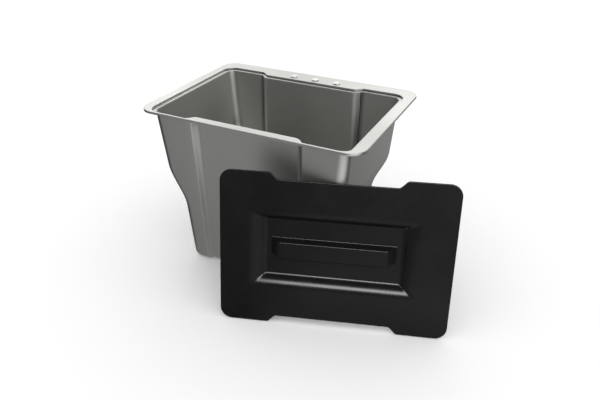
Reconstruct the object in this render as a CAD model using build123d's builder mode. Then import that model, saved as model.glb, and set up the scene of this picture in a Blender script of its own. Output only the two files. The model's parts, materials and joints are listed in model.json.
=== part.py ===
from build123d import *
import math
import os

os.makedirs("parts", exist_ok=True)

# A drawn stainless steel bin with a stepped rim, and the loose moulded lid that drops into the rim.
# The lid stands on the floor and leans on the bin's front. Millimetres, +Z up.
# Origin: on the floor under the centre of the bin's mouth. X runs along the bin's long sides.
# The front is at -Y, where the rim is narrow. The back, at +Y, has the wide rim.

# ---------- bin ----------
HEIGHT = 315.0
SHEET = 1.0
RIM_LENGTH = 432.0
RIM_WIDTH = 309.0
RIM_CORNER = 30.0
RIM_SHIFT = 12.8          # the rim's centre lies this far behind the mouth's centre
RIM_LIP = 4.0             # depth of the edge that is turned down all round
RIM_BEND = 1.8

MOUTH_HALF_X = 197.0      # the upright step that the lid drops inside
MOUTH_HALF_Y = 136.7
MOUTH_CORNER = 22.0
STEP_DOWN = 4.1           # from the top of the rim to the ledge
LEDGE = 6.1               # width of the ledge that carries the lid

JOG_X = 105.0             # where the long sides step inward, each side of the centre
JOG_TOP = 12.3            # how far they step inward at the mouth
JOG_FOOT = 6.3            # and at the foot
JOG_BEND = 4.0

WALL_CORNER = 18.0
UPPER_DRAFT = 0.085       # inward lean of the end walls above the shoulder, per unit of depth
LOWER_DRAFT = 0.050       # and below it
FOOT_HALF_X = 145.5
SHOULDER_START = 112.0    # depth below the rim at which the end walls turn inward
SHOULDER_END = 196.0
SIDE_DRAFT = 0.035        # inward lean of the long walls
FOOT_ROUND = 12.0
FOOT_BANDS = 5            # flat bands that round the foot
SHOULDER_BANDS = 8        # and that shape the shoulder

# ---------- bag buttons on the back of the rim ----------
BUTTON_RADIUS = 7.5
BUTTON_RISE = 3.2
BUTTON_SHANK = 3.0
BUTTON_HOLE = 3.05
BUTTON_FOOT = 5.0         # radius of the head formed under the rim
BUTTON_FOOT_RISE = 1.2
BUTTON_PITCH = 47.5
BUTTON_MIDDLE_X = 6.0
BUTTON_Y = 138.5

# ---------- lid ----------
LID_CLEARANCE = 0.9       # gap all round when the lid lies in the mouth
LID_HALF_X = MOUTH_HALF_X - LID_CLEARANCE
LID_HALF_Y = MOUTH_HALF_Y - LID_CLEARANCE
LID_CORNER = 20.0
LID_THICK = 3.5
LID_EDGE = 0.8

RECESS_DEPTH = 13.0
RECESS_SHIFT = -3.4       # the recess and the grip lie this far to the left of the lid's middle
RECESS_MOUTH = (129.5, -57.0, 61.0)     # half length, lower edge, upper edge
RECESS_FLOOR = (116.0, -48.5, 53.0)
RECESS_CORNER = 5.0
PAN_WALL = 2.6            # thickness of the recess's sloping walls, in the plane of the lid

GRIP_ROOT = (105.5, -10.0, 19.0)        # half length, lower edge, upper edge at the recess floor
GRIP_FACE = (90.7, -13.2, 14.2)         # and at the face that is gripped
GRIP_FACE_DROP = 0.5      # the gripped face lies this far below the lid's face
GRIP_WALL = 2.5
GRIP_EDGE = 0.8

SCREW_PITCH = 72.0
SCREW_COUNT = 3
SCREW_Y = 4.5
SCREW_SHANK = 1.75
SCREW_LENGTH = 10.0
SCREW_HEAD = 3.8
SCREW_HEAD_RISE = 2.2
SCREW_SOCKET = 1.4
SCREW_SOCKET_DEPTH = 1.3
BOSS_RADIUS = 4.2
BOSS_HOLE = 1.8
PANEL_HOLE = 2.1

# ---------- how the lid leans ----------
LID_YAW = 18.0            # degrees, turned about the vertical
LID_LEAN = 13.7           # degrees from upright, top towards the bin
LID_STAND_X = 184.6
LID_STAND_Y = -159.2


def lid_plane():
    """The plane of the lid's face: x along the lid, y up the lid, z out of the face."""
    yaw = math.radians(LID_YAW)
    lean = math.radians(LID_LEAN)
    along = (math.cos(yaw), math.sin(yaw), 0.0)
    out = (math.sin(yaw) * math.cos(lean), -math.cos(yaw) * math.cos(lean), math.sin(lean))
    height = LID_HALF_Y * math.cos(lean) + LID_THICK * math.sin(lean)
    return Plane(origin=(LID_STAND_X, LID_STAND_Y, height), x_dir=along, z_dir=out)


def stepped_outline(plane, half_x, half_y, jog, corner):
    """A rounded rectangle whose two long sides step inward in the middle."""
    near = JOG_X - jog / 2
    far = JOG_X + jog / 2
    quarter = [(near, half_y - jog), (far, half_y), (half_x, half_y)]
    points = [(-x, y) for x, y in reversed(quarter)] + quarter
    points += [(x, -y) for x, y in reversed(points)]
    with BuildSketch(plane) as outline:
        with BuildLine():
            Polyline(*points, close=True)
        make_face()
        fillet(outline.vertices().filter_by(lambda v: abs(v.X) < half_x - 1), JOG_BEND)
        fillet(outline.vertices().filter_by(lambda v: abs(v.X) > half_x - 1), corner)
    return outline.sketch


def soft_rectangle(plane, half_x, low, high, corner):
    """A rounded rectangle given by its half length and its lower and upper edges."""
    with BuildSketch(plane) as outline:
        with Locations((0, (low + high) / 2)):
            RectangleRounded(2 * half_x, high - low, corner)
    return outline.sketch


def ease(low, high, value):
    """0 below low, 1 above high, and a smooth S between."""
    t = min(max((value - low) / (high - low), 0.0), 1.0)
    return t * t * (3 - 2 * t)


def wall_outline(depth, inset):
    """The wall's outline at a depth below the rim, moved inward by inset."""
    run = depth - STEP_DOWN
    upper = MOUTH_HALF_X - LEDGE - UPPER_DRAFT * run
    lower = FOOT_HALF_X + LOWER_DRAFT * (HEIGHT - depth)
    blend = ease(SHOULDER_START, SHOULDER_END, depth)
    half_x = upper + (lower - upper) * blend
    half_y = MOUTH_HALF_Y - LEDGE - SIDE_DRAFT * run
    jog = JOG_TOP + (JOG_FOOT - JOG_TOP) * run / (HEIGHT - STEP_DOWN)
    plane = Plane.XY.offset(HEIGHT - depth)
    return stepped_outline(plane, half_x - inset, half_y - inset, jog, WALL_CORNER - inset)


def wall_body(inset):
    """The solid inside the wall, moved inward by inset, with a rounded foot."""
    radius = FOOT_ROUND - inset
    shoulder = SHOULDER_END - SHOULDER_START
    depths = [SHOULDER_START + shoulder * band / SHOULDER_BANDS for band in range(SHOULDER_BANDS + 1)]
    sections = [wall_outline(depth, inset) for depth in [STEP_DOWN] + depths]
    for band in range(FOOT_BANDS + 1):
        turn = math.radians(90 * band / FOOT_BANDS)
        depth = HEIGHT - FOOT_ROUND + radius * math.sin(turn)
        sections.append(wall_outline(depth, inset + radius * (1 - math.cos(turn))))
    with BuildPart() as body:
        loft(sections=sections, ruled=True)
    return body.part


def make_tub():
    """The bin: one drawn sheet with a flat rim, a step, a ledge and a shouldered wall."""
    shell = wall_body(0.0)
    hollow = wall_body(SHEET)
    ledge_top = Plane.XY.offset(HEIGHT - STEP_DOWN)
    rim_base = Plane.XY.offset(HEIGHT - RIM_LIP)
    mouth = stepped_outline(ledge_top, MOUTH_HALF_X, MOUTH_HALF_Y, JOG_TOP, MOUTH_CORNER)
    step_skin = stepped_outline(ledge_top, MOUTH_HALF_X + SHEET, MOUTH_HALF_Y + SHEET, JOG_TOP,
                                MOUTH_CORNER + SHEET)
    with BuildPart() as tub:
        with BuildSketch(rim_base):
            with Locations((0, RIM_SHIFT)):
                RectangleRounded(RIM_LENGTH, RIM_WIDTH, RIM_CORNER)
        extrude(amount=RIM_LIP)
        fillet(tub.faces().sort_by(Axis.Z)[-1].edges(), RIM_BEND)
        with BuildSketch(rim_base):
            with Locations((0, RIM_SHIFT)):
                RectangleRounded(RIM_LENGTH - 2 * SHEET, RIM_WIDTH - 2 * SHEET, RIM_CORNER - SHEET)
        extrude(amount=RIM_LIP - SHEET, mode=Mode.SUBTRACT)
        extrude(step_skin, amount=STEP_DOWN)
        extrude(step_skin, amount=-SHEET)
        add(shell)
        extrude(mouth, amount=STEP_DOWN, mode=Mode.SUBTRACT)
        add(hollow, mode=Mode.SUBTRACT)
        with Locations(Plane.XY.offset(HEIGHT)):
            with Locations(*button_places()):
                Hole(BUTTON_HOLE, RIM_LIP)
    tub.part.label = "tub"
    export_step(tub.part, "parts/tub.step")


def button_places():
    """Where the bag buttons stand on the back of the rim."""
    return [(BUTTON_MIDDLE_X + step * BUTTON_PITCH, BUTTON_Y) for step in (-1, 0, 1)]


def make_buttons():
    """Three domed buttons riveted through the back of the rim, one node each."""
    dome = (BUTTON_RADIUS**2 + BUTTON_RISE**2) / (2 * BUTTON_RISE)
    under = -SHEET - BUTTON_FOOT_RISE
    for name, (x, y) in zip(("left", "middle", "right"), button_places()):
        place = Plane((x, y, HEIGHT), x_dir=(1, 0, 0), z_dir=(0, -1, 0))
        with BuildPart() as button:
            with BuildSketch(place):
                with BuildLine():
                    Polyline((0, BUTTON_RISE), (0, under), (BUTTON_FOOT, under), (BUTTON_FOOT, -SHEET),
                             (BUTTON_SHANK, -SHEET), (BUTTON_SHANK, 0), (BUTTON_RADIUS, 0))
                    RadiusArc((BUTTON_RADIUS, 0), (0, BUTTON_RISE), -dome)
                make_face()
            revolve(axis=Axis((x, y, HEIGHT), (0, 0, 1)))
        button.part.label = f"bag_button_{name}"
        export_step(button.part, f"parts/bag_button_{name}.step")


def recess_body(face, outset, mouth_depth, floor_depth):
    """The solid that fills the recess, grown by outset, from mouth_depth to floor_depth."""
    mouth_x, mouth_low, mouth_high = RECESS_MOUTH
    floor_x, floor_low, floor_high = RECESS_FLOOR
    sections = [
        soft_rectangle(face.offset(-mouth_depth), mouth_x + outset, mouth_low - outset,
                       mouth_high + outset, RECESS_CORNER + outset),
        soft_rectangle(face.offset(-floor_depth), floor_x + outset, floor_low - outset,
                       floor_high + outset, RECESS_CORNER + outset),
    ]
    with BuildPart() as body:
        loft(sections=sections, ruled=True)
    return body.part


def recess_plane(face):
    """The lid's face plane, centred on the recess instead of on the panel."""
    return Plane(face.from_local_coords((RECESS_SHIFT, 0, 0)), x_dir=face.x_dir, z_dir=face.z_dir)


def make_lid_panel(face, recess):
    """The lid: a flat moulding with a stepped outline and a sunken rectangular recess."""
    outline = stepped_outline(face, LID_HALF_X, LID_HALF_Y, JOG_TOP, LID_CORNER)
    pan = recess_body(recess, PAN_WALL, LID_THICK, RECESS_DEPTH + LID_THICK)
    hollow = recess_body(recess, 0.0, 0.0, RECESS_DEPTH)
    with BuildPart() as panel:
        extrude(outline, amount=-LID_THICK)
        fillet(panel.faces().sort_by(Axis(face.origin, face.z_dir))[-1].edges(), LID_EDGE)
        add(pan)
        add(hollow, mode=Mode.SUBTRACT)
        with Locations(recess):
            with Locations((0, SCREW_Y, -RECESS_DEPTH)):
                with GridLocations(SCREW_PITCH, 1, SCREW_COUNT, 1):
                    Hole(PANEL_HOLE, LID_THICK)
    panel.part.label = "lid_panel"
    export_step(panel.part, "parts/lid_panel.step")


def grip_sections(face, inset, root_depth, face_depth):
    """The grip bar's outline at the recess floor and at its face, moved inward by inset."""
    sections = []
    for depth, (half_x, low, high) in ((root_depth, GRIP_ROOT), (face_depth, GRIP_FACE)):
        plane = face.offset(-depth)
        with BuildSketch(plane) as outline:
            with Locations((0, (low + high) / 2)):
                Rectangle(2 * (half_x - inset), high - low - 2 * inset)
        sections.append(outline.sketch)
    return sections


def make_grip_bar(face):
    """The grip: a hollow tapered bar that leans downward, so fingers hook under it."""
    outer = grip_sections(face, 0.0, RECESS_DEPTH, GRIP_FACE_DROP)
    inner = grip_sections(face, GRIP_WALL, RECESS_DEPTH, GRIP_FACE_DROP + GRIP_WALL)
    boss_height = RECESS_DEPTH - GRIP_FACE_DROP - GRIP_WALL
    with BuildPart() as bar:
        loft(sections=outer, ruled=True)
        fillet(bar.faces().sort_by(Axis(face.origin, face.z_dir))[-1].edges(), GRIP_EDGE)
        loft(sections=inner, ruled=True, mode=Mode.SUBTRACT)
        with BuildSketch(face.offset(-RECESS_DEPTH)):
            with Locations((0, SCREW_Y)):
                with GridLocations(SCREW_PITCH, 1, SCREW_COUNT, 1):
                    Circle(BOSS_RADIUS)
                    Circle(BOSS_HOLE, mode=Mode.SUBTRACT)
        extrude(amount=boss_height)
    bar.part.label = "grip_bar"
    export_step(bar.part, "parts/grip_bar.step")


def make_grip_screws(face):
    """The screws that hold the grip from behind the recess floor."""
    seat = face.offset(-RECESS_DEPTH - LID_THICK)
    with BuildPart() as screws:
        with BuildSketch(seat):
            with Locations((0, SCREW_Y)):
                with GridLocations(SCREW_PITCH, 1, SCREW_COUNT, 1):
                    Circle(SCREW_HEAD)
        extrude(amount=-SCREW_HEAD_RISE)
        with BuildSketch(seat):
            with Locations((0, SCREW_Y)):
                with GridLocations(SCREW_PITCH, 1, SCREW_COUNT, 1):
                    Circle(SCREW_SHANK)
        extrude(amount=SCREW_LENGTH)
        with BuildSketch(seat.offset(-SCREW_HEAD_RISE)):
            with Locations((0, SCREW_Y)):
                with GridLocations(SCREW_PITCH, 1, SCREW_COUNT, 1):
                    RegularPolygon(SCREW_SOCKET, 6)
        extrude(amount=SCREW_SOCKET_DEPTH, mode=Mode.SUBTRACT)
    screws.part.label = "grip_screws"
    export_step(screws.part, "parts/grip_screws.step")


lid_face = lid_plane()
make_tub()
make_buttons()
recess_face = recess_plane(lid_face)
make_lid_panel(lid_face, recess_face)
make_grip_bar(recess_face)
make_grip_screws(recess_face)
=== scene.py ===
import json
import math

import bmesh
import bpy
from bpy.props import FloatProperty, FloatVectorProperty, PointerProperty
from mathutils import Matrix, Quaternion, Vector


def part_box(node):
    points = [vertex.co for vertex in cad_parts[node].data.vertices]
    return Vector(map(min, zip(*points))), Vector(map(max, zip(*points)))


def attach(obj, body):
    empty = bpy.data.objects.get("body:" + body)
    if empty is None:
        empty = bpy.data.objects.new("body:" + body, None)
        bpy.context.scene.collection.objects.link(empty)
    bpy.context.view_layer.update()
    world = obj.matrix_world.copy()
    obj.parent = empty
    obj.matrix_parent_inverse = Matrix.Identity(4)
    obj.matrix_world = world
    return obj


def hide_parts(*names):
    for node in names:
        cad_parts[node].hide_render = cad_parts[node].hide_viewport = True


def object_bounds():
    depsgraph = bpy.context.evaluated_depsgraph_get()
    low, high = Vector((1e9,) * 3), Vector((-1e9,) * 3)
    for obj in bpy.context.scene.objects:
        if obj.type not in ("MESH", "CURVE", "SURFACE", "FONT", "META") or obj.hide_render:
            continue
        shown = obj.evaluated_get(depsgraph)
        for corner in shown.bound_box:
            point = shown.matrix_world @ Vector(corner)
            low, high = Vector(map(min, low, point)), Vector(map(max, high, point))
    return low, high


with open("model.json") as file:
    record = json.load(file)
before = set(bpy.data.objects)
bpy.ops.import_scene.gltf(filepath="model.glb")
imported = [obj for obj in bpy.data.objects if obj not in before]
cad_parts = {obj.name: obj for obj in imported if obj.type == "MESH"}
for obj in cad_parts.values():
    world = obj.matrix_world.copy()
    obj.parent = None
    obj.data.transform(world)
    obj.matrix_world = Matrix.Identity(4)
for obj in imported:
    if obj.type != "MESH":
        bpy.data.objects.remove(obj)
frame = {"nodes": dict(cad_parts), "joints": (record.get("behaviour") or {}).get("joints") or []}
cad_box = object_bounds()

bl_info = {
    "name": "Steel bin with moulded lid",
    "version": (1, 0, 0),
    "blender": (4, 5, 0),
    "location": "3D View > Sidebar > Steel Bin",
    "description": "Builds a drawn steel bin, its bag buttons and its loose lid around the frame",
    "category": "Add Mesh",
}

MM = 0.001

# How finely the outlines are divided. Every outline has the same number of points.
MIDDLE_STEPS = 8
JOG_STEPS = 12
END_STEPS = 5
CORNER_STEPS = 12
SHORT_STEPS = 6
BEND_STEPS = 5
EDGE_STEPS = 4
BACK_EDGE_STEPS = 3
FOOT_STEPS = 9
WALL_STEPS = 8            # rings on the wall above the shoulder, and as many below it
SHOULDER_STEPS = 18
RECESS_BEND_STEPS = 18    # rings where the lid's face bends into the recess
RECESS_WALL_STEPS = 3
RECESS_FLOOR_STEPS = 8

# How the recess bends, as shares of the way from its mouth to its floor.
FACE_FLOOR_BEND = 0.3
BACK_MOUTH_BEND = 0.35
BACK_FLOOR_BEND = 0.2

# The middle roughness of each finish.
STEEL_ROUGH = 0.53
BUTTON_ROUGH = 0.44
ZINC_ROUGH = 0.30
BLACK_ROUGH = 0.22

# How much lighter or darker than its base colour a finish becomes.
STEEL_SHADES = (0.90, 1.08)
# Painted shade: the steel's tightest inner creases are darkened to this share of its colour,
# standing in for shade and dark reflections there.
CREASE_PAINTED_SHADE = 0.12
GREYED_EDGE = 2.2
CREASE_SHADE_GAIN = 60.0        # how sharply the painted shade in a crease starts

# How strongly the cloudy polish, the brush lines and the rubbed edges show.
CLOUD_SHADE, LINE_SHADE, LEAST_SHADE = 0.6, 0.35, 0.2
CLOUD_ROUGH, LINE_ROUGH, RUB_ROUGH = 0.10, 0.06, -0.10
ROUGH_OFFSET = 0.07       # taken off, so that the middle roughness is the one named above
BRUSH_DEPTH = 0.02 * MM

# And the same for the moulded plastic's dust and grain.
DUST_START, DUST_GAIN = 0.42, 2.5
DUST_SHADE, DUST_ROUGH, MOULD_ROUGH = 0.25, 0.08, 0.06
MOULD_DEPTH = 0.03 * MM

# Grain sizes: higher is finer.
BRUSH_FINENESS = 60.0
MOULD_FINENESS = 1500.0
EVENLY = (1.0, 1.0, 1.0)  # noise that isn't drawn out in any direction

# Bag buttons and screws, turned on a lathe.
BUTTON_FOOT = 5.0 * MM
BUTTON_SHANK = 3.0 * MM
BUTTON_BRIM = 0.25 * MM   # height of the dome's upright brim
BUTTON_FULLNESS = 0.9     # below 1 the dome is fuller than an ellipse
DOME_STEPS = 14
AXIS_HOLE = 0.2 * MM      # a lathed cap starts this far from its axis
BUTTON_SEGMENTS = 40
SCREW_SEGMENTS = 36
SCREW_SHANK = 8 * MM

# The studio. Azimuths are in degrees to the right of the front.
FLOOR_REACH = 12.0
FLOOR_DROP = 0.3 * MM     # the floor lies this far below the bin
CLOTH_FADE = 14.0         # degrees over which a cloth's upright edges fade, each way
CLOTH_EDGE = 0.1          # and its lower and upper edges, as a share of the height
EVEN_LIGHT = 1.18         # what matt surfaces get from all round
DIM_LIGHT = 0.03          # what glossy surfaces get between the cloths

# The camera looks at a point near the middle of the bin and the lid.
CAMERA_TARGET = Vector((0.0622, -0.0424, 0.145))
CAMERA_AWAY = 1.0769
CAMERA_AZIMUTH, CAMERA_ELEVATION, CAMERA_ROLL = 26.744, 31.019, -0.178
CAMERA_LENS, CAMERA_SENSOR = 34.107, 36.0


# ---------- places read from the frame ----------

def lid_axes():
    """The lid's own directions: along it, up it, and out of its face."""
    out = Vector(frame["joints"][0]["axis"]).normalized()
    along = Vector((-out.y, out.x, 0.0)).normalized()
    return along, out.cross(along), out


def spans(node, axes):
    """The lowest and highest value of a CAD node along each axis."""
    points = [v.co for v in frame["nodes"][node].data.vertices]
    return [(min(p.dot(a) for p in points), max(p.dot(a) for p in points)) for a in axes]


def lid_matrix():
    """The lid's frame: its origin is at the middle of the panel's face."""
    axes = lid_axes()
    (u0, u1), (v0, v1), (_, face) = spans("lid_panel", axes)
    origin = axes[0] * (u0 + u1) / 2 + axes[1] * (v0 + v1) / 2 + axes[2] * face
    turn = Matrix((axes[0], axes[1], axes[2])).transposed().to_4x4()
    return Matrix.Translation(origin) @ turn


tub_low, tub_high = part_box("tub")
LID_FRAME = lid_matrix()
LID_SPANS = spans("lid_panel", lid_axes())


# ---------- sizes and finishes that a user would change ----------

def length(name, text, default):
    """A size in metres."""
    return FloatProperty(name=name, description=text, default=default, unit="LENGTH",
                         subtype="DISTANCE")


def colour(name, text, default):
    """A colour in scene-linear values."""
    return FloatVectorProperty(name=name, description=text, default=default, subtype="COLOR",
                               min=0.0, max=1.0)


def lean(name, text, default):
    """How far a wall leans inward, per unit of depth."""
    return FloatProperty(name=name, description=text, default=default)


class BinSizes(bpy.types.PropertyGroup):
    """Sizes of the drawn steel bin."""

    sheet: length("Sheet", "Thickness of the steel", 1.0 * MM)
    rim_corner: length("Rim corner", "Corner radius of the rim", 30 * MM)
    rim_bend: length("Rim bend", "Radius of the turned-down edge", 1.8 * MM)
    rim_lip: length("Rim lip", "Depth of the turned-down edge", 4 * MM)
    mouth_half_x: length("Mouth half length", "Half the length between the upright steps", 197 * MM)
    mouth_half_y: length("Mouth half width", "Half the width between the upright steps", 136.7 * MM)
    mouth_corner: length("Mouth corner", "Corner radius of the upright step", 22 * MM)
    step_down: length("Step down", "From the rim to the ledge", 4.1 * MM)
    ledge: length("Ledge", "Width of the ledge that carries the lid", 6.1 * MM)
    small_bend: length("Small bend", "Bend radius at the step", 0.9 * MM)
    ledge_bend: length("Ledge bend", "Bend radius from the ledge into the wall", 1.8 * MM)
    jog_x: length("Jog place", "Where the long sides step inward", 105 * MM)
    jog_top: length("Jog at the mouth", "How far the long sides step inward at the mouth",
                    12.3 * MM)
    jog_foot: length("Jog at the foot", "How far the long sides step inward at the foot", 6.3 * MM)
    jog_soft: length("Jog softness", "Rounding of the jog's bends at the mouth", 2.4 * MM)
    draw_inner: length("Inner draw", "Rounding of the wall's jog towards the middle", 6.0 * MM)
    draw_outer: length("Outer draw", "Rounding of the wall's jog towards the ends", 1.5 * MM)
    draw_span: length("Draw span", "Length of the wall's jog at the mouth", 10.0 * MM)
    wall_corner: length("Wall corner", "Corner radius of the wall", 18 * MM)
    foot_half_x: length("Foot half length", "Half the length of the wall at the foot", 145.5 * MM)
    shoulder_start: length("Shoulder start", "Depth at which the end walls turn inward", 112 * MM)
    shoulder_end: length("Shoulder end", "Depth at which the end walls turn down again", 196 * MM)
    foot_round: length("Foot rounding", "Radius between the walls and the floor", 12 * MM)
    upper_draft: lean("Upper draft", "Lean of the end walls above the shoulder", 0.085)
    lower_draft: lean("Lower draft", "Lean of the end walls below it", 0.05)
    side_draft: lean("Side draft", "Lean of the long walls", 0.035)


class LidSizes(bpy.types.PropertyGroup):
    """Sizes of the moulded lid, its recess and its grip."""

    thick: length("Thickness", "Wall thickness of the moulding", 3.5 * MM)
    corner: length("Corner", "Corner radius of the panel", 20 * MM)
    front_edge: length("Front edge", "Edge radius on the face", 0.8 * MM)
    fit: length("Fit", "How far the panel stays inside its nominal outline", 0.02 * MM)
    back_edge: length("Back edge", "Edge radius on the back", 0.4 * MM)
    recess_depth: length("Recess depth", "How deep the recess is sunk", 13 * MM)
    recess_shift: length("Recess shift", "How far the recess lies to the right of the middle",
                         -3.4 * MM)
    recess_half_x: length("Recess half length", "Half the length of the recess at the face",
                          129.5 * MM)
    recess_low: length("Recess lower edge", "Lower edge of the recess at the face", -58 * MM)
    recess_high: length("Recess upper edge", "Upper edge of the recess at the face", 61 * MM)
    floor_half_x: length("Floor half length", "Half the length of the recess floor", 116 * MM)
    floor_low: length("Floor lower edge", "Lower edge of the recess floor", -48.5 * MM)
    floor_high: length("Floor upper edge", "Upper edge of the recess floor", 53 * MM)
    recess_corner: length("Recess corner", "Corner radius of the recess at the face", 5 * MM)
    floor_corner: length("Floor corner", "Corner radius of the recess floor", 2.5 * MM)
    pan_wall: length("Pan wall", "Wall of the recess behind the lid", 2.6 * MM)
    mouth_tail: FloatProperty(
        name="Mouth tail", default=1.5,
        description="How far the face bends before the recess, as a share of its sloping wall")
    root_half_x: length("Grip root half length", "Half the grip's length at the recess floor",
                        105.5 * MM)
    root_low: length("Grip root lower edge", "Lower edge of the grip at the recess floor", -10 * MM)
    root_high: length("Grip root upper edge", "Upper edge of the grip at the recess floor", 19 * MM)
    grip_half_x: length("Grip half length", "Half the grip's length at its face", 90.7 * MM)
    grip_low: length("Grip lower edge", "Lower edge of the grip's face", -13.2 * MM)
    grip_high: length("Grip upper edge", "Upper edge of the grip's face", 14.2 * MM)
    grip_drop: length("Grip drop", "How far the grip's face lies below the lid's face", 0.5 * MM)
    grip_edge: length("Grip edge", "Edge radius of the grip", 0.8 * MM)
    screw_v: length("Screw height", "Where the screws stand, up the lid", 4.5 * MM)
    screw_head: length("Screw head", "Radius of the screw heads", 3.8 * MM)
    screw_rise: length("Screw head rise", "Height of the screw heads", 2.2 * MM)


class Finishes(bpy.types.PropertyGroup):
    """Colours of the materials and of the floor."""

    steel: colour("Steel", "Satin stainless steel", (0.585, 0.59, 0.565))
    bright_steel: colour("Bright steel", "Polished buttons", (0.72, 0.72, 0.70))
    zinc: colour("Zinc", "Plated screws", (0.50, 0.51, 0.52))
    black: colour("Moulded black", "Satin black plastic", (0.0014, 0.0014, 0.0015))
    floor: colour("Floor", "Pale studio floor", (0.90, 0.90, 0.90))


# ---------- outlines ----------

def spread(start, stop, steps):
    """Evenly spaced values after start, up to and including stop."""
    return [start + (stop - start) * step / steps for step in range(1, steps + 1)]


def soft_ramp(value, soft):
    """0 below zero and value above it, with the corner rounded over soft each way."""
    if value <= -soft:
        return 0.0
    if value >= soft:
        return value
    return (value + soft) ** 2 / (4 * soft)


def tail_ramp(value, before, after):
    """0 until before zero, value from after on, and a bend with a long tail between."""
    if value <= -before:
        return 0.0
    if value >= after:
        return value
    return after * ((value + before) / (before + after)) ** (before / after + 1)


def ease(low, high, value):
    """0 below low, 1 above high, and a smooth S between."""
    t = min(max((value - low) / (high - low), 0.0), 1.0)
    return t * t * (3 - 2 * t)


def stations(reach, near, far):
    """Places along half of a long side, close together where it steps inward."""
    middle = spread(0.0, near, MIDDLE_STEPS)
    return [0.0] + middle + spread(near, far, JOG_STEPS) + spread(far, reach, END_STEPS)


def full_ring(quarter, centre_y):
    """All four quarters of an outline, clockwise from above, from the middle of the far side."""
    ring = list(quarter)
    ring += [(x, -y) for x, y in reversed(quarter[:-1])]
    ring += [(-x, -y) for x, y in quarter[1:]]
    ring += [(-x, y) for x, y in reversed(quarter[1:-1])]
    return [(x, y + centre_y) for x, y in ring]


def quarter_end(half_x, half_y, corner):
    """The corner arc and half of the short side."""
    arc = []
    for turn in spread(math.pi / 2, 0.0, CORNER_STEPS):
        arc.append((half_x - corner + corner * math.cos(turn),
                    half_y - corner + corner * math.sin(turn)))
    return arc + [(half_x, y) for y in spread(half_y - corner, 0.0, SHORT_STEPS)]


def stepped_ring(sizes, half_x, half_y, jog, corner, bends=None, centre_y=0.0):
    """A rounded rectangle whose long sides step inward by jog in the middle.

    bends is the rounding of the step's inner and outer bend, and the length of the step."""
    soft_in, soft_out, span = bends or (sizes.jog_soft, sizes.jog_soft, sizes.jog_top)
    start = sizes.jog_x - span / 2
    end = sizes.jog_x + span / 2
    quarter = []
    for x in stations(half_x - corner, start - soft_in, end + soft_out):
        rise = soft_ramp(x - start, soft_in) - soft_ramp(x - end, soft_out)
        quarter.append((x, half_y - jog + jog * rise / span))
    return full_ring(quarter + quarter_end(half_x, half_y, corner), centre_y)


def plain_ring(half_x, low, high, corner):
    """A rounded rectangle with the same number of points as a stepped outline."""
    half_y = (high - low) / 2
    reach = stations(1.0, 0.5, 0.6)
    quarter = [(fraction * (half_x - corner), half_y) for fraction in reach]
    return full_ring(quarter + quarter_end(half_x, half_y, corner), (low + high) / 2)


def quarter_turn(steps=BEND_STEPS):
    """Pairs (1 - cos, sin) for the points of a bend, from its start to its end."""
    turns = [math.pi / 2 * step / steps for step in range(steps + 1)]
    return [(1 - math.cos(turn), math.sin(turn)) for turn in turns]


# ---------- meshes ----------

def add_object(name, mesh, body, slot, material, *nodes):
    """Puts a mesh in the scene as a piece that rides on a body and stands for CAD nodes."""
    piece = bpy.data.objects.new(name, mesh)
    bpy.context.scene.collection.objects.link(piece)
    mesh.materials.append(material)
    mesh.shade_smooth()
    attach(piece, body)
    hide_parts(*nodes)
    return piece


def weigh_normals(piece):
    """Keeps flat areas flat beside narrow bends."""
    weigh = piece.modifiers.new("weighted normals", "WEIGHTED_NORMAL")
    weigh.keep_sharp = True
    weigh.weight = 100


def skin(name, rings, cap_start, cap_end):
    """A mesh through rings of points, closed at either end if asked."""
    shape = bmesh.new()
    loops = [[shape.verts.new(point) for point in ring] for ring in rings]
    count = len(loops[0])
    for one, two in zip(loops, loops[1:]):
        for step in range(count):
            after = (step + 1) % count
            shape.faces.new((one[step], two[step], two[after], one[after]))
    if cap_start:
        shape.faces.new(loops[0])
    if cap_end:
        shape.faces.new(list(reversed(loops[-1])))
    mesh = bpy.data.meshes.new(name)
    shape.to_mesh(mesh)
    shape.free()
    return mesh


def lathe(name, profile, segments, place, lobes=None):
    """A mesh turned from (radius, height) points; lobes gives each ring's six-lobed waviness."""
    shape = bmesh.new()
    rings = []
    for index, (radius, height) in enumerate(profile):
        ring = []
        for step in range(segments):
            turn = 2 * math.pi * step / segments
            wave = 1 + (lobes[index] * math.cos(6 * turn) if lobes else 0.0)
            out = radius * wave
            point = Vector((out * math.cos(turn), out * math.sin(turn), height))
            ring.append(shape.verts.new(place @ point))
        rings.append(ring)
    for one, two in zip(rings, rings[1:]):
        for step in range(segments):
            after = (step + 1) % segments
            shape.faces.new((one[step], one[after], two[after], two[step]))
    shape.faces.new(list(reversed(rings[0])))
    shape.faces.new(rings[-1])
    bmesh.ops.recalc_face_normals(shape, faces=shape.faces)
    mesh = bpy.data.meshes.new(name)
    shape.to_mesh(mesh)
    shape.free()
    return mesh


# ---------- shader groups ----------

def new_group(name, inputs, outputs):
    """An empty shader group with named float inputs and outputs."""
    tree = bpy.data.node_groups.new(name, "ShaderNodeTree")
    for label, default in inputs:
        socket = tree.interface.new_socket(label, in_out="INPUT", socket_type="NodeSocketFloat")
        socket.default_value = default
    for label in outputs:
        tree.interface.new_socket(label, in_out="OUTPUT", socket_type="NodeSocketFloat")
    return tree, tree.nodes.new("NodeGroupInput"), tree.nodes.new("NodeGroupOutput")


def math_node(tree, operation, first, second, third=None):
    """A math node whose inputs are sockets or numbers."""
    node = tree.nodes.new("ShaderNodeMath")
    node.operation = operation
    for socket, value in zip(node.inputs, (first, second, third)):
        if value is None:
            continue
        if isinstance(value, bpy.types.NodeSocket):
            tree.links.new(value, socket)
        else:
            socket.default_value = value
    return node.outputs[0]


def within_one(tree, value):
    """A value held between 0 and 1."""
    return math_node(tree, "MINIMUM", math_node(tree, "MAXIMUM", value, 0.0), 1.0)


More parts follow.
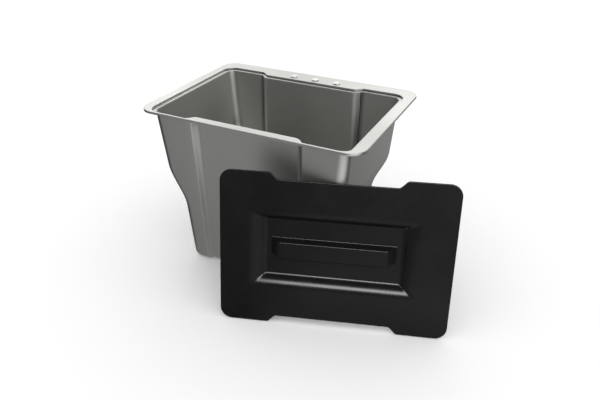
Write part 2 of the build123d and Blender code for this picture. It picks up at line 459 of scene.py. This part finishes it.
def stretched_noise(tree, stretch, scale, detail, roughness):
    """Noise in the object's own space, drawn out by different amounts along each axis."""
    place = tree.nodes.new("ShaderNodeTexCoord")
    mapping = tree.nodes.new("ShaderNodeMapping")
    mapping.inputs["Scale"].default_value = stretch
    tree.links.new(place.outputs["Object"], mapping.inputs["Vector"])
    noise = tree.nodes.new("ShaderNodeTexNoise")
    noise.inputs["Detail"].default_value = detail
    noise.inputs["Roughness"].default_value = roughness
    tree.links.new(mapping.outputs["Vector"], noise.inputs["Vector"])
    if isinstance(scale, bpy.types.NodeSocket):
        tree.links.new(scale, noise.inputs["Scale"])
    else:
        noise.inputs["Scale"].default_value = scale
    return noise.outputs["Fac"]


def brushed_grain_group():
    """Fine horizontal brush lines on upright walls, and lines along the rim on level faces."""
    tree, given, out = new_group("brushed grain", [("Scale", 1.0)], ["Lines", "Cloud"])
    fine = math_node(tree, "MULTIPLY", given.outputs["Scale"], BRUSH_FINENESS)
    walls = stretched_noise(tree, (0.35, 0.35, 30.0), fine, detail=4.0, roughness=0.6)
    level = stretched_noise(tree, (0.35, 30.0, 30.0), fine, detail=4.0, roughness=0.6)
    facing = tree.nodes.new("ShaderNodeNewGeometry")
    split = tree.nodes.new("ShaderNodeSeparateXYZ")
    tree.links.new(facing.outputs["True Normal"], split.inputs[0])
    upright = math_node(tree, "ABSOLUTE", split.outputs["Z"], 0.0)
    mix = tree.nodes.new("ShaderNodeMix")
    tree.links.new(upright, mix.inputs["Factor"])
    tree.links.new(walls, mix.inputs["A"])
    tree.links.new(level, mix.inputs["B"])
    tree.links.new(mix.outputs["Result"], out.inputs["Lines"])
    cloud = stretched_noise(tree, EVENLY, scale=7.0, detail=3.0, roughness=0.5)
    tree.links.new(cloud, out.inputs["Cloud"])
    return tree


def edge_rub_and_crease_shade_group():
    """Masks of worn outer edges, broken up by noise, and of painted shade in tight inner creases.
    """
    inputs = [("Start", 0.52), ("Width", 0.08), ("Tight", 0.485)]
    tree, given, out = new_group("edge rub and crease shade", inputs, ["Mask", "Painted crease shade"])
    facing = tree.nodes.new("ShaderNodeNewGeometry")
    past = math_node(tree, "SUBTRACT", facing.outputs["Pointiness"], given.outputs["Start"])
    slope = math_node(tree, "DIVIDE", past, given.outputs["Width"])
    speckle = stretched_noise(tree, EVENLY, scale=90.0, detail=3.0, roughness=0.6)
    broken = math_node(tree, "MULTIPLY", slope, speckle)
    tree.links.new(within_one(tree, broken), out.inputs["Mask"])
    # Painted shade: this mask marks tight inner creases so that the steel's colour can be darkened
    # where shade falls in them.
    dip = math_node(tree, "SUBTRACT", given.outputs["Tight"], facing.outputs["Pointiness"])
    deep = math_node(tree, "MULTIPLY", dip, CREASE_SHADE_GAIN)
    tree.links.new(within_one(tree, deep), out.inputs["Painted crease shade"])
    return tree


def mould_texture_group():
    """The fine spark-eroded texture of a moulded face, and faint dust lying on it."""
    tree, given, out = new_group("mould texture", [("Scale", 1.0)], ["Grain", "Dust"])
    fine = math_node(tree, "MULTIPLY", given.outputs["Scale"], MOULD_FINENESS)
    grain = stretched_noise(tree, EVENLY, fine, detail=2.0, roughness=0.55)
    tree.links.new(grain, out.inputs["Grain"])
    patches = stretched_noise(tree, EVENLY, scale=14.0, detail=5.0, roughness=0.6)
    above = math_node(tree, "SUBTRACT", patches, DUST_START)
    dust = math_node(tree, "MULTIPLY", above, DUST_GAIN)
    tree.links.new(math_node(tree, "MAXIMUM", dust, 0.0), out.inputs["Dust"])
    return tree


def shared(name, build):
    """The shader group of that name, built the first time it is asked for."""
    return bpy.data.node_groups.get(name) or build()


def new_material(name):
    """An empty material with a Principled shader, and its tree."""
    material = bpy.data.materials.new(name)
    material.use_nodes = True
    tree = material.node_tree
    return material, tree, tree.nodes["Principled BSDF"]


def place_group(tree, group, **values):
    """Puts a shader group in a material with its own values."""
    node = tree.nodes.new("ShaderNodeGroup")
    node.node_tree = group
    for label, value in values.items():
        node.inputs[label].default_value = value
    return node


def mix_colours(tree, mask, first, second):
    """A colour that goes from first, a colour or a socket, to second with the mask."""
    mix = tree.nodes.new("ShaderNodeMix")
    mix.data_type = "RGBA"
    if isinstance(first, bpy.types.NodeSocket):
        tree.links.new(first, mix.inputs["A"])
    else:
        mix.inputs["A"].default_value = (*first, 1.0)
    mix.inputs["B"].default_value = (*second, 1.0)
    tree.links.new(mask, mix.inputs["Factor"])
    return mix.outputs["Result"]


def add_bump(tree, shader, height, strength, distance):
    """Feeds a height through a Bump node into the shader's normal."""
    bump = tree.nodes.new("ShaderNodeBump")
    bump.inputs["Strength"].default_value = strength
    bump.inputs["Distance"].default_value = distance
    tree.links.new(height, bump.inputs["Height"])
    tree.links.new(bump.outputs["Normal"], shader.inputs["Normal"])


def tinted(base, factor):
    """A colour made lighter or darker."""
    return tuple(min(channel * factor, 1.0) for channel in base)


def steel_material(name, base, rough, grain_scale, bump):
    """Brushed steel: fine lines, cloudy polish, rubbed outer bends and creases darkened with
    painted shade.
    """
    material, tree, shader = new_material(name)
    grain = place_group(tree, shared("brushed grain", brushed_grain_group), Scale=grain_scale)
    rub_and_crease_shade = place_group(tree, shared("edge rub and crease shade", edge_rub_and_crease_shade_group), Start=0.505, Width=0.05, Tight=0.49)
    shade = math_node(tree, "MULTIPLY_ADD", grain.outputs["Cloud"], CLOUD_SHADE, LEAST_SHADE)
    shade = math_node(tree, "MULTIPLY_ADD", grain.outputs["Lines"], LINE_SHADE, shade)
    dull, bright = [tinted(base, factor) for factor in STEEL_SHADES]
    clean = mix_colours(tree, shade, dull, bright)
    # Painted shade: the tightest inner creases are darkened, standing in for the shade and dark
    # reflections in them.
    crease_shaded = mix_colours(tree, rub_and_crease_shade.outputs["Painted crease shade"], clean, tinted(base, CREASE_PAINTED_SHADE))
    tree.links.new(crease_shaded, shader.inputs["Base Color"])
    least = rough - ROUGH_OFFSET
    polish = math_node(tree, "MULTIPLY_ADD", grain.outputs["Cloud"], CLOUD_ROUGH, least)
    polish = math_node(tree, "MULTIPLY_ADD", grain.outputs["Lines"], LINE_ROUGH, polish)
    polish = math_node(tree, "MULTIPLY_ADD", rub_and_crease_shade.outputs["Mask"], RUB_ROUGH, polish)
    tree.links.new(polish, shader.inputs["Roughness"])
    shader.inputs["Metallic"].default_value = 1.0
    shader.inputs["Anisotropic"].default_value = 0.65
    shader.inputs["Anisotropic Rotation"].default_value = 0.25
    around = tree.nodes.new("ShaderNodeTangent")
    around.direction_type = "RADIAL"
    around.axis = "Z"
    tree.links.new(around.outputs["Tangent"], shader.inputs["Tangent"])
    add_bump(tree, shader, grain.outputs["Lines"], bump, BRUSH_DEPTH)
    return material


def black_material(name, base, rough):
    """Satin black moulded plastic: eroded texture, faint dust and slightly greyed edges."""
    material, tree, shader = new_material(name)
    texture = place_group(tree, shared("mould texture", mould_texture_group), Scale=1.0)
    rub_and_crease_shade = place_group(tree, shared("edge rub and crease shade", edge_rub_and_crease_shade_group), Start=0.51, Width=0.06)
    dust = texture.outputs["Dust"]
    greyed = math_node(tree, "MULTIPLY_ADD", dust, DUST_SHADE, rub_and_crease_shade.outputs["Mask"])
    blend = mix_colours(tree, greyed, base, tinted(base, GREYED_EDGE))
    tree.links.new(blend, shader.inputs["Base Color"])
    satin = math_node(tree, "MULTIPLY_ADD", dust, DUST_ROUGH, rough)
    satin = math_node(tree, "MULTIPLY_ADD", texture.outputs["Grain"], MOULD_ROUGH, satin)
    tree.links.new(satin, shader.inputs["Roughness"])
    shader.inputs["Specular IOR Level"].default_value = 0.15
    add_bump(tree, shader, texture.outputs["Grain"], 0.25, MOULD_DEPTH)
    return material


# ---------- the bin ----------

def at_height(ring, height):
    """Points of a flat outline, lifted to a height."""
    return [(x, y, height) for x, y in ring]


def wall_ring(sizes, depth, inset):
    """The wall's outline at a depth below the rim, moved inward by inset."""
    height = tub_high.z - tub_low.z
    run = depth - sizes.step_down
    upper = sizes.mouth_half_x - sizes.ledge - sizes.upper_draft * run
    lower = sizes.foot_half_x + sizes.lower_draft * (height - depth)
    half_x = upper + (lower - upper) * ease(sizes.shoulder_start, sizes.shoulder_end, depth)
    half_y = sizes.mouth_half_y - sizes.ledge - sizes.side_draft * run
    jog = sizes.jog_top + (sizes.jog_foot - sizes.jog_top) * run / (height - sizes.step_down)
    shallower = jog / sizes.jog_top
    drawn = [shallower * soft for soft in (sizes.draw_inner, sizes.draw_outer, sizes.draw_span)]
    corner = sizes.wall_corner - inset
    ring = stepped_ring(sizes, half_x - inset, half_y - inset, jog, corner, drawn)
    return at_height(ring, tub_high.z - depth)


def rim_rings(sizes):
    """The turned-down edge, from its lower end up and over onto the flat rim."""
    half_x = (tub_high.x - tub_low.x) / 2
    half_y = (tub_high.y - tub_low.y) / 2
    middle = (tub_high.y + tub_low.y) / 2

    def ring(inset, height):
        """The rim's outline at a height, moved inward by inset."""
        outline = stepped_ring(sizes, half_x - inset, half_y - inset, 0.0,
                               sizes.rim_corner - inset, centre_y=middle)
        return at_height(outline, height)

    bend = sizes.rim_bend
    rings = [ring(0.0, tub_high.z - sizes.rim_lip)]
    rings += [ring(bend * back, tub_high.z - bend + bend * up) for back, up in quarter_turn()]
    return rings


def step_rings(sizes):
    """The upright step and the ledge, from the flat rim down to the top of the wall."""
    top = tub_high.z
    ledge = top - sizes.step_down
    small = sizes.small_bend

    def ring(outset, height):
        """The step's outline at a height, moved outward by outset."""
        outline = stepped_ring(sizes, sizes.mouth_half_x + outset, sizes.mouth_half_y + outset,
                               sizes.jog_top, sizes.mouth_corner + outset)
        return at_height(outline, height)

    rings = [ring(small - small * up, top - small * back) for back, up in quarter_turn()]
    rings += [ring(-small * back, ledge + small - small * up) for back, up in quarter_turn()]
    soft = sizes.ledge_bend
    edge = sizes.ledge + sizes.sheet
    rings += [ring(soft - edge - soft * up, ledge - soft * back)
              for back, up in quarter_turn()[:-1]]
    return rings


def wall_rings(sizes):
    """The inside of the wall, its rounded foot and the floor."""
    height = tub_high.z - tub_low.z
    first = sizes.step_down + sizes.ledge_bend
    last = height - sizes.foot_round
    depths = [first] + spread(first, sizes.shoulder_start, WALL_STEPS)
    depths += spread(sizes.shoulder_start, sizes.shoulder_end, SHOULDER_STEPS)
    depths += spread(sizes.shoulder_end, last, WALL_STEPS)
    rings = [wall_ring(sizes, depth, sizes.sheet) for depth in depths]
    radius = sizes.foot_round - sizes.sheet
    for back, down in quarter_turn(FOOT_STEPS)[1:]:
        rings.append(wall_ring(sizes, last + radius * down, sizes.sheet + radius * back))
    return rings


class STEELBIN_OT_tub(bpy.types.Operator):
    """Build the drawn steel bin"""

    bl_idname = "steelbin.tub"
    bl_label = "Bin"

    def execute(self, context):
        sizes = context.scene.bin_sizes
        rings = rim_rings(sizes) + step_rings(sizes) + wall_rings(sizes)
        mesh = skin("drawn_tub", rings, False, True)
        base = context.scene.finishes.steel
        steel = steel_material("satin stainless steel", base, STEEL_ROUGH,
                               grain_scale=1.0, bump=0.15)
        tub = add_object("drawn_tub", mesh, "bin", "stainless_sheet", steel, "tub")
        sheet = tub.modifiers.new("sheet", "SOLIDIFY")
        sheet.thickness = sizes.sheet
        sheet.offset = -1.0
        sheet.use_even_offset = True
        weigh_normals(tub)
        return {"FINISHED"}


class STEELBIN_OT_buttons(bpy.types.Operator):
    """Build the three domed bag buttons on the back of the rim"""

    bl_idname = "steelbin.buttons"
    bl_label = "Bag buttons"

    def execute(self, context):
        base = context.scene.finishes.bright_steel
        steel = steel_material("bright button steel", base, BUTTON_ROUGH,
                               grain_scale=2.0, bump=0.05)
        sheet = context.scene.bin_sizes.sheet
        for side in ("left", "middle", "right"):
            low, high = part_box(f"bag_button_{side}")
            radius = (high.x - low.x) / 2
            rise = high.z - tub_high.z
            foot = tub_high.z - sheet - low.z
            profile = [(AXIS_HOLE, -sheet - foot), (BUTTON_FOOT - 0.8 * MM, -sheet - foot),
                       (BUTTON_FOOT, -sheet - foot * 0.6), (BUTTON_FOOT, -sheet),
                       (BUTTON_SHANK, -sheet), (BUTTON_SHANK, 0.0), (radius - 0.3 * MM, 0.0)]
            for step in range(DOME_STEPS):
                turn = math.pi / 2 * step / DOME_STEPS
                swell = (rise - BUTTON_BRIM) * math.sin(turn) ** BUTTON_FULLNESS
                profile.append((radius * math.cos(turn), BUTTON_BRIM + swell))
            profile.append((AXIS_HOLE, rise))
            place = Matrix.Translation(((low.x + high.x) / 2, (low.y + high.y) / 2, tub_high.z))
            mesh = lathe(f"domed_button_{side}", profile, BUTTON_SEGMENTS, place)
            button = add_object(f"domed_button_{side}", mesh, "bin", "button_steel", steel,
                                f"bag_button_{side}")
            weigh_normals(button)
        return {"FINISHED"}


# ---------- the lid ----------

def in_lid(ring, height):
    """Points of a flat outline, placed at a height above the lid's face."""
    return [LID_FRAME @ Vector((x, y, height)) for x, y in ring]


def panel_ring(context, inset, height):
    """The lid's stepped outline, moved inward by inset."""
    sizes, lid = context.scene.bin_sizes, context.scene.lid_sizes
    half_x = (LID_SPANS[0][1] - LID_SPANS[0][0]) / 2 - inset - lid.fit
    half_y = (LID_SPANS[1][1] - LID_SPANS[1][0]) / 2 - inset - lid.fit
    return in_lid(stepped_ring(sizes, half_x, half_y, sizes.jog_top, lid.corner - inset), height)


def recess_ring(context, along, outset, height):
    """The recess's outline: along is 0 at the mouth and 1 at the floor."""
    lid = context.scene.lid_sizes
    half_x = lid.recess_half_x + (lid.floor_half_x - lid.recess_half_x) * along + outset
    low = lid.recess_low + (lid.floor_low - lid.recess_low) * along - outset
    high = lid.recess_high + (lid.floor_high - lid.recess_high) * along + outset
    narrowed = (lid.recess_corner - lid.floor_corner) * min(max(along, 0.0), 1.0)
    corner = lid.recess_corner - narrowed + outset
    ring = plain_ring(half_x, low, high, corner)
    return in_lid([(x + lid.recess_shift, y) for x, y in ring], height)


def recess_rings(context, outset, drop, before, after, floor_soft):
    """The recess down to its floor, starting drop below the lid's face.

    before, after and floor_soft say how far its bends reach, from the mouth and the floor."""
    depth = context.scene.lid_sizes.recess_depth
    places = [-before] + spread(-before, after, RECESS_BEND_STEPS)
    places += spread(after, 1 - floor_soft, RECESS_WALL_STEPS)
    places += spread(1 - floor_soft, 1 + floor_soft, RECESS_FLOOR_STEPS)
    rings = []
    for along in places:
        sunk = depth * (tail_ramp(along, before, after) - soft_ramp(along - 1, floor_soft))
        rings.append(recess_ring(context, along, outset, -drop - sunk))
    return rings


class STEELBIN_OT_lid(bpy.types.Operator):
    """Build the moulded lid panel with its sunken recess"""

    bl_idname = "steelbin.lid"
    bl_label = "Lid panel"

    def execute(self, context):
        lid = context.scene.lid_sizes
        rings = recess_rings(context, lid.pan_wall, lid.thick, BACK_MOUTH_BEND, BACK_MOUTH_BEND,
                             BACK_FLOOR_BEND)
        rings.reverse()
        edge = lid.back_edge
        rings += [panel_ring(context, edge - edge * up, edge * turn - lid.thick)
                  for turn, up in quarter_turn(BACK_EDGE_STEPS)]
        edge = lid.front_edge
        rings += [panel_ring(context, edge * turn, edge * up - edge)
                  for turn, up in quarter_turn(EDGE_STEPS)]
        rings += recess_rings(context, 0.0, 0.0, lid.mouth_tail, lid.mouth_tail / 2,
                              FACE_FLOOR_BEND)
        mesh = skin("moulded_panel", rings, True, True)
        base = context.scene.finishes.black
        black = black_material("satin black moulding", base, BLACK_ROUGH)
        panel = add_object("moulded_panel", mesh, "lid", "lid_plastic", black, "lid_panel")
        weigh_normals(panel)
        return {"FINISHED"}


class STEELBIN_OT_grip(bpy.types.Operator):
    """Build the tapered grip bar"""

    bl_idname = "steelbin.grip"
    bl_label = "Grip bar"

    def execute(self, context):
        lid = context.scene.lid_sizes
        floor = -lid.recess_depth
        edge = lid.grip_edge

        def ring(rise, outset):
            """The grip's outline at a height above the lid's face, grown by outset."""
            share = (rise - floor) / (-lid.grip_drop - floor)
            half_x = lid.root_half_x + (lid.grip_half_x - lid.root_half_x) * share + outset
            low = lid.root_low + (lid.grip_low - lid.root_low) * share - outset
            high = lid.root_high + (lid.grip_high - lid.root_high) * share + outset
            outline = plain_ring(half_x, low, high, edge + max(outset, 0.0))
            return in_lid([(x + lid.recess_shift, y) for x, y in outline], rise)

        bend = quarter_turn(EDGE_STEPS)
        rings = [ring(floor + edge * back, edge - edge * up) for back, up in bend]
        rings += [ring(-lid.grip_drop - edge + edge * up, -edge * back) for back, up in bend]
        mesh = skin("grip_moulding", rings, True, True)
        black = black_material("satin black grip", context.scene.finishes.black, BLACK_ROUGH)
        grip = add_object("grip_moulding", mesh, "lid", "grip_plastic", black, "grip_bar")
        weigh_normals(grip)
        return {"FINISHED"}


class STEELBIN_OT_screws(bpy.types.Operator):
    """Build the screws behind the grip"""

    bl_idname = "steelbin.screws"
    bl_label = "Grip screws"

    def execute(self, context):
        lid = context.scene.lid_sizes
        base = context.scene.finishes.zinc
        zinc = steel_material("plated screw", base, ZINC_ROUGH, grain_scale=3.0, bump=0.05)
        low, high = spans("grip_screws", lid_axes())[0]
        middle = LID_FRAME.translation.dot(lid_axes()[0])
        radius = lid.screw_head
        seat = -lid.recess_depth - lid.thick
        top = lid.screw_rise
        shank_and_head = [(1.6 * MM, -SCREW_SHANK), (1.7 * MM, 0.0), (radius, 0.0),
                          (radius, 0.7 * MM), (radius * 0.9, 1.5 * MM),
                          (radius * 0.7, top - 0.15 * MM), (radius * 0.45, top)]
        socket = [(1.35 * MM, top - 0.05 * MM), (1.25 * MM, top - 0.3 * MM), (1.15 * MM, 0.7 * MM)]
        lobes = [0.0] * len(shank_and_head) + [0.12, 0.16, 0.16]
        backward = Matrix.Rotation(math.pi, 4, "X")
        merged = bmesh.new()
        for place in (low + radius, (low + high) / 2, high - radius):
            head = Matrix.Translation((place - middle, lid.screw_v, seat)) @ backward
            mesh = lathe("screw", shank_and_head + socket, SCREW_SEGMENTS, LID_FRAME @ head, lobes)
            merged.from_mesh(mesh)
            bpy.data.meshes.remove(mesh)
        mesh = bpy.data.meshes.new("grip_screw_set")
        merged.to_mesh(mesh)
        merged.free()
        screws = add_object("grip_screw_set", mesh, "lid", "screw_steel", zinc, "grip_screws")
        weigh_normals(screws)
        return {"FINISHED"}


# ---------- the stage ----------

def add_area(name, target, away, size, power, pieces):
    """A soft rectangular lamp that faces its target from away and lights only the named pieces."""
    place = target + Vector(away)
    lamp = bpy.data.lights.new(name, "AREA")
    lamp.shape = "RECTANGLE"
    lamp.size, lamp.size_y = size
    lamp.energy = power
    holder = bpy.data.objects.new(name, lamp)
    bpy.context.scene.collection.objects.link(holder)
    holder.location = place
    holder.rotation_euler = (target - place).to_track_quat("-Z", "Y").to_euler()
    lit = bpy.data.collections.new(f"lit by the {name}")
    for piece in pieces:
        lit.objects.link(bpy.data.objects[piece])
    holder.light_linking.receiver_collection = lit


def map_range(tree, value, start, stop, low, high):
    """A smooth change from low to high while the value goes from start to stop."""
    node = tree.nodes.new("ShaderNodeMapRange")
    node.interpolation_type = "SMOOTHSTEP"
    ends = {"From Min": start, "From Max": stop, "To Min": low, "To Max": high}
    for label, number in ends.items():
        node.inputs[label].default_value = number
    tree.links.new(value, node.inputs["Value"])
    return node.outputs["Result"]


def cloth(tree, direction, azimuth, half_width, low, high, brightness):
    """Brightness of a soft cloth that hangs at an azimuth, between two heights of direction."""
    turn = math.radians(azimuth)
    split = tree.nodes.new("ShaderNodeSeparateXYZ")
    tree.links.new(direction, split.inputs[0])
    across = math_node(tree, "MULTIPLY", split.outputs["X"], math.sin(turn))
    facing = math_node(tree, "MULTIPLY_ADD", split.outputs["Y"], -math.cos(turn), across)
    height = split.outputs["Z"]
    downward = math_node(tree, "MULTIPLY", height, -1.0)
    level = math_node(tree, "SQRT", math_node(tree, "MULTIPLY_ADD", height, downward, 1.0), 0.0)
    cosine = math_node(tree, "DIVIDE", facing, level)
    outer = math.cos(math.radians(half_width + CLOTH_FADE))
    inner = math.cos(math.radians(half_width - CLOTH_FADE))
    wide = map_range(tree, cosine, outer, inner, 0.0, brightness)
    above = map_range(tree, height, low - CLOTH_EDGE, low + CLOTH_EDGE, 0.0, 1.0)
    below = map_range(tree, height, high - CLOTH_EDGE, high + CLOTH_EDGE, 1.0, 0.0)
    return math_node(tree, "MULTIPLY", wide, math_node(tree, "MULTIPLY", above, below))


def add_up(tree, values):
    """The sum of several values."""
    total = values[0]
    for value in values[1:]:
        total = math_node(tree, "ADD", total, value)
    return total


def studio_walls(tree):
    """Brightness of the studio around the bin, as glossy surfaces see it."""
    direction = tree.nodes.new("ShaderNodeTexCoord").outputs["Generated"]
    behind = cloth(tree, direction, azimuth=-153.0, half_width=42.0,
                   low=0.14, high=0.97, brightness=1.85)
    right = cloth(tree, direction, azimuth=58.0, half_width=26.0,
                  low=-0.30, high=0.62, brightness=0.75)
    back_right = cloth(tree, direction, azimuth=145.0, half_width=30.0,
                       low=-0.30, high=0.60, brightness=0.20)
    front_left = cloth(tree, direction, azimuth=-27.0, half_width=20.0,
                       low=-0.30, high=0.40, brightness=0.30)
    total = add_up(tree, [behind, right, back_right, front_left])
    return math_node(tree, "ADD", total, DIM_LIGHT)


def dome_world():
    """A studio of soft white cloth. Matt surfaces get the same light from all round."""
    world = bpy.data.worlds.new("studio dome")
    world.use_nodes = True
    world.cycles.sampling_method = "NONE"
    tree = world.node_tree
    lit = tree.nodes["Background"]
    path = tree.nodes.new("ShaderNodeLightPath")
    pick = tree.nodes.new("ShaderNodeMix")
    tree.links.new(path.outputs["Is Glossy Ray"], pick.inputs["Factor"])
    pick.inputs["A"].default_value = EVEN_LIGHT
    tree.links.new(studio_walls(tree), pick.inputs["B"])
    lit.inputs["Color"].default_value = (1.0, 1.0, 1.0, 1.0)
    tree.links.new(pick.outputs["Result"], lit.inputs["Strength"])
    return world


def floor_material(base):
    """Pale matt floor, which glossy surfaces see as a darker floor with three soft glows."""
    material, tree, shader = new_material("studio floor")
    shader.inputs["Base Color"].default_value = (*base, 1.0)
    shader.inputs["Roughness"].default_value = 0.9
    shader.inputs["Specular IOR Level"].default_value = 0.0
    place = tree.nodes.new("ShaderNodeTexCoord")
    flat = tree.nodes.new("ShaderNodeVectorMath")
    flat.operation = "NORMALIZE"
    tree.links.new(place.outputs["Object"], flat.inputs[0])
    outward = flat.outputs["Vector"]
    right = cloth(tree, outward, azimuth=46.0, half_width=28.0,
                  low=-0.5, high=0.5, brightness=1.50)
    back_right = cloth(tree, outward, azimuth=150.0, half_width=30.0,
                       low=-0.5, high=0.5, brightness=0.36)
    front_left = cloth(tree, outward, azimuth=-27.0, half_width=24.0,
                       low=-0.5, high=0.5, brightness=0.48)
    dark = tree.nodes.new("ShaderNodeEmission")
    away = tree.nodes.new("ShaderNodeVectorMath")
    away.operation = "LENGTH"
    tree.links.new(place.outputs["Object"], away.inputs[0])
    # Each glow fades with its distance in metres from the bin's middle.
    metres = away.outputs["Value"]
    dim_near = map_range(tree, metres, start=0.30, stop=0.70, low=0.40, high=1.0)
    left_dim_near = map_range(tree, metres, start=0.30, stop=0.75, low=0.60, high=1.0)
    dim_far = map_range(tree, metres, start=0.50, stop=0.85, low=1.0, high=0.50)
    glow = math_node(tree, "MULTIPLY_ADD", right, dim_far, back_right)
    shade = math_node(tree, "MULTIPLY_ADD", glow, dim_near, DIM_LIGHT)
    shade = math_node(tree, "MULTIPLY_ADD", front_left, left_dim_near, shade)
    tree.links.new(shade, dark.inputs["Strength"])
    material.cycles.emission_sampling = "NONE"
    path = tree.nodes.new("ShaderNodeLightPath")
    mix = tree.nodes.new("ShaderNodeMixShader")
    tree.links.new(path.outputs["Is Glossy Ray"], mix.inputs["Fac"])
    tree.links.new(shader.outputs["BSDF"], mix.inputs[1])
    tree.links.new(dark.outputs["Emission"], mix.inputs[2])
    tree.links.new(mix.outputs["Shader"], tree.nodes["Material Output"].inputs["Surface"])
    return material


class STEELBIN_OT_stage(bpy.types.Operator):
    """Build the floor, the lamps, the world and the camera"""

    bl_idname = "steelbin.stage"
    bl_label = "Stage"

    def execute(self, context):
        scene = context.scene
        mesh = bpy.data.meshes.new("studio_floor")
        corners = [(x * FLOOR_REACH, y * FLOOR_REACH, 0)
                   for x, y in ((-1, -1), (1, -1), (1, 1), (-1, 1))]
        mesh.from_pydata(corners, [], [(0, 1, 2, 3)])
        floor = bpy.data.objects.new("studio_floor", mesh)
        floor.location.z = cad_box[0].z - FLOOR_DROP
        mesh.materials.append(floor_material(scene.finishes.floor))
        scene.collection.objects.link(floor)

        scene.world = dome_world()
        centre = (cad_box[0] + cad_box[1]) / 2
        on_lid = ("moulded_panel", "grip_moulding")
        on_bin = ("drawn_tub", "domed_button_left", "domed_button_middle", "domed_button_right")
        add_area("lid key", centre, away=(0.66, -1.60, 1.38), size=(1.2, 1.1), power=135,
                 pieces=on_lid)
        add_area("lid glint", centre, away=(1.40, -0.90, 1.30), size=(0.3, 0.3), power=45,
                 pieces=on_lid)
        add_area("steel fill", centre, away=(1.18, -0.85, 1.60), size=(2.0, 2.0), power=20,
                 pieces=on_bin)

        camera = bpy.data.objects.new("camera", bpy.data.cameras.new("camera"))
        scene.collection.objects.link(camera)
        azimuth, elevation = math.radians(CAMERA_AZIMUTH), math.radians(CAMERA_ELEVATION)
        roll = math.radians(CAMERA_ROLL)
        back = Vector((math.sin(azimuth) * math.cos(elevation),
                       -math.cos(azimuth) * math.cos(elevation), math.sin(elevation)))
        camera.location = CAMERA_TARGET + back * CAMERA_AWAY
        camera.rotation_mode = "QUATERNION"
        camera.rotation_quaternion = (-back).to_track_quat("-Z", "Y") @ Quaternion((0, 0, 1), roll)
        camera.data.sensor_width = CAMERA_SENSOR
        camera.data.lens = CAMERA_LENS
        scene.camera = camera
        scene.view_settings.view_transform = "Standard"
        return {"FINISHED"}


class STEELBIN_PT_panel(bpy.types.Panel):
    """The steel bin's pieces and sizes"""

    bl_idname = "STEELBIN_PT_panel"
    bl_label = "Steel bin"
    bl_space_type = "VIEW_3D"
    bl_region_type = "UI"
    bl_category = "Steel Bin"

    def draw(self, context):
        for operator in OPERATORS:
            self.layout.operator(operator.bl_idname)
        for group in (context.scene.bin_sizes, context.scene.lid_sizes, context.scene.finishes):
            box = self.layout.box()
            for name in group.bl_rna.properties.keys():
                if name not in ("rna_type", "name"):
                    box.prop(group, name)


OPERATORS = (STEELBIN_OT_tub, STEELBIN_OT_buttons, STEELBIN_OT_lid, STEELBIN_OT_grip,
             STEELBIN_OT_screws, STEELBIN_OT_stage)
CLASSES = (BinSizes, LidSizes, Finishes) + OPERATORS + (STEELBIN_PT_panel,)


def register():
    for cls in CLASSES:
        bpy.utils.register_class(cls)
    bpy.types.Scene.bin_sizes = PointerProperty(type=BinSizes)
    bpy.types.Scene.lid_sizes = PointerProperty(type=LidSizes)
    bpy.types.Scene.finishes = PointerProperty(type=Finishes)


def unregister():
    del bpy.types.Scene.finishes
    del bpy.types.Scene.lid_sizes
    del bpy.types.Scene.bin_sizes
    for cls in reversed(CLASSES):
        bpy.utils.unregister_class(cls)


def main():
    """Builds every piece and the stage."""
    register()
    bpy.ops.steelbin.tub()
    bpy.ops.steelbin.buttons()
    bpy.ops.steelbin.lid()
    bpy.ops.steelbin.grip()
    bpy.ops.steelbin.screws()
    bpy.ops.steelbin.stage()


if __name__ == "__main__":
    main()
